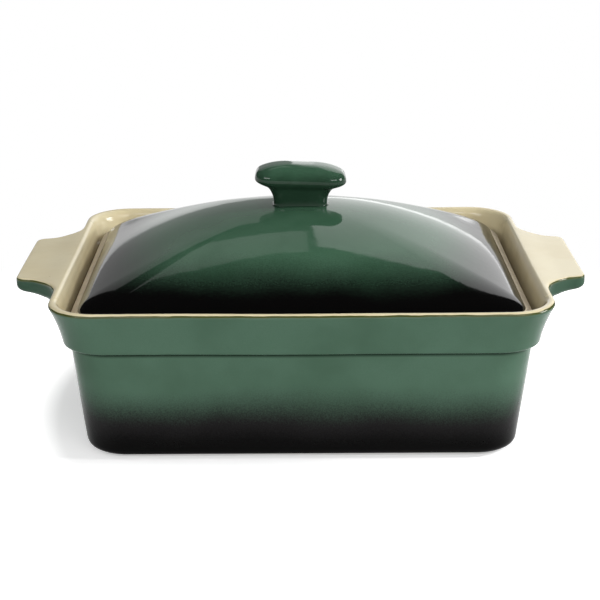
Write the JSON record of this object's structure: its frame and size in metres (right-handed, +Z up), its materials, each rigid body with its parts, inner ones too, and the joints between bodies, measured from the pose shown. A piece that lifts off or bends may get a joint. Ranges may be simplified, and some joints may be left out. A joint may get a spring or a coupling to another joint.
{
  "type": "covered casserole dish",
  "caption": "Rectangular glazed ceramic casserole dish with a flared rim band, lug handles at both ends and a domed lid with an oblong knob that seats on a ledge inside the rim.",
  "frame": {"origin": "centre of the foot ring, on the plane that the dish stands on", "axes": "+X towards the right handle, +Y towards the back, +Z up"},
  "size_m": [0.379, 0.246, 0.1718],
  "materials": {
    "green_glaze": "glossy green glaze that shades to black towards the base of the dish and the edge of the lid",
    "cream_glaze": "glossy cream glaze inside the dish, over the lip and on top of the handles",
    "bare_stoneware": "matt unglazed stoneware on the foot ring and the edge of the lid"
  },
  "bodies": {
    "dish": {"dish_body": "green_glaze", "foot_ring": "bare_stoneware", "handle_left": "cream_glaze", "handle_right": "cream_glaze"},
    "lid": {"lid_dome": "green_glaze", "lid_rim": "bare_stoneware", "lid_knob": "green_glaze"}
  },
  "joints": [
    {"name": "lid_lift", "type": "slide", "parent": "dish", "child": "lid", "axis": [0, 0, 1], "range_m": [0, 0.15]}
  ]
}
